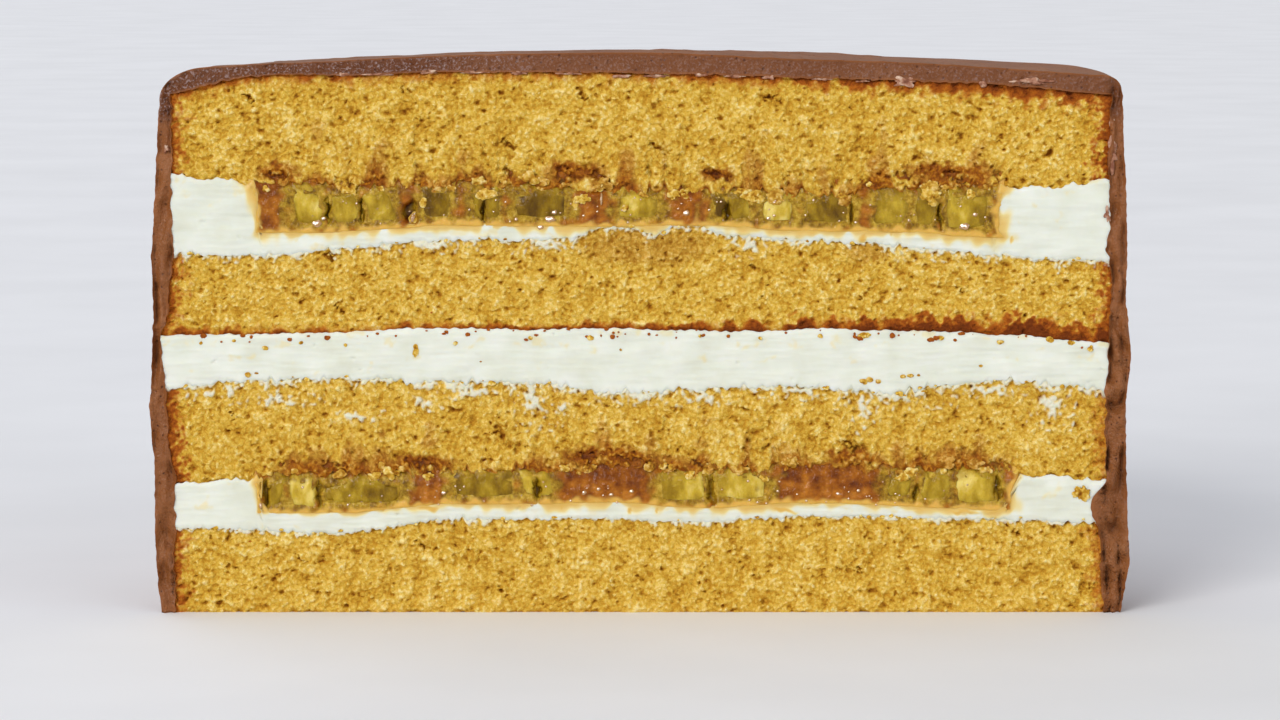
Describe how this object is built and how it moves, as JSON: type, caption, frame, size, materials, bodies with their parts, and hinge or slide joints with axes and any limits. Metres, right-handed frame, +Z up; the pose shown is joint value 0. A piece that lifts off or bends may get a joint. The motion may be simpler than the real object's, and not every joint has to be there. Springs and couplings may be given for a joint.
{
  "type": "caramel cake",
  "caption": "Half of a tall round caramel layer cake with cream, caramel and fruit fillings and chocolate icing, standing on its base with the flat cut face forward.",
  "frame": {"origin": "middle of the base: the point under the centre of the object's box, on the surface it stands on", "axes": "+Z up, +X along the flat cut to its right as seen from in front, +Y from the cut to the round back"},
  "size_m": [0.1662, 0.0832, 0.095],
  "materials": {
    "sponge": "matte, open crumb",
    "cream": "satin",
    "caramel": "wet gloss",
    "fruit": "wet gloss",
    "icing": "satin"
  },
  "bodies": {
    "root": {"sponge_1": "sponge", "sponge_2": "sponge", "sponge_3": "sponge", "sponge_4": "sponge", "cream_lower": "cream", "cream_middle": "cream", "cream_upper": "cream", "caramel_lower": "caramel", "caramel_upper": "caramel", "icing": "icing", "fruit_lower_1": "fruit", "fruit_lower_2": "fruit", "fruit_lower_3": "fruit", "fruit_lower_4": "fruit", "fruit_lower_5": "fruit", "fruit_lower_6": "fruit", "fruit_lower_7": "fruit", "fruit_lower_8": "fruit", "fruit_lower_9": "fruit", "fruit_lower_10": "fruit", "fruit_upper_1": "fruit", "fruit_upper_2": "fruit", "fruit_upper_3": "fruit", "fruit_upper_4": "fruit", "fruit_upper_5": "fruit", "fruit_upper_6": "fruit", "fruit_upper_7": "fruit", "fruit_upper_8": "fruit", "fruit_upper_9": "fruit", "fruit_upper_10": "fruit", "fruit_upper_11": "fruit", "fruit_upper_12": "fruit", "fruit_upper_13": "fruit"}
  },
  "joints": []
}
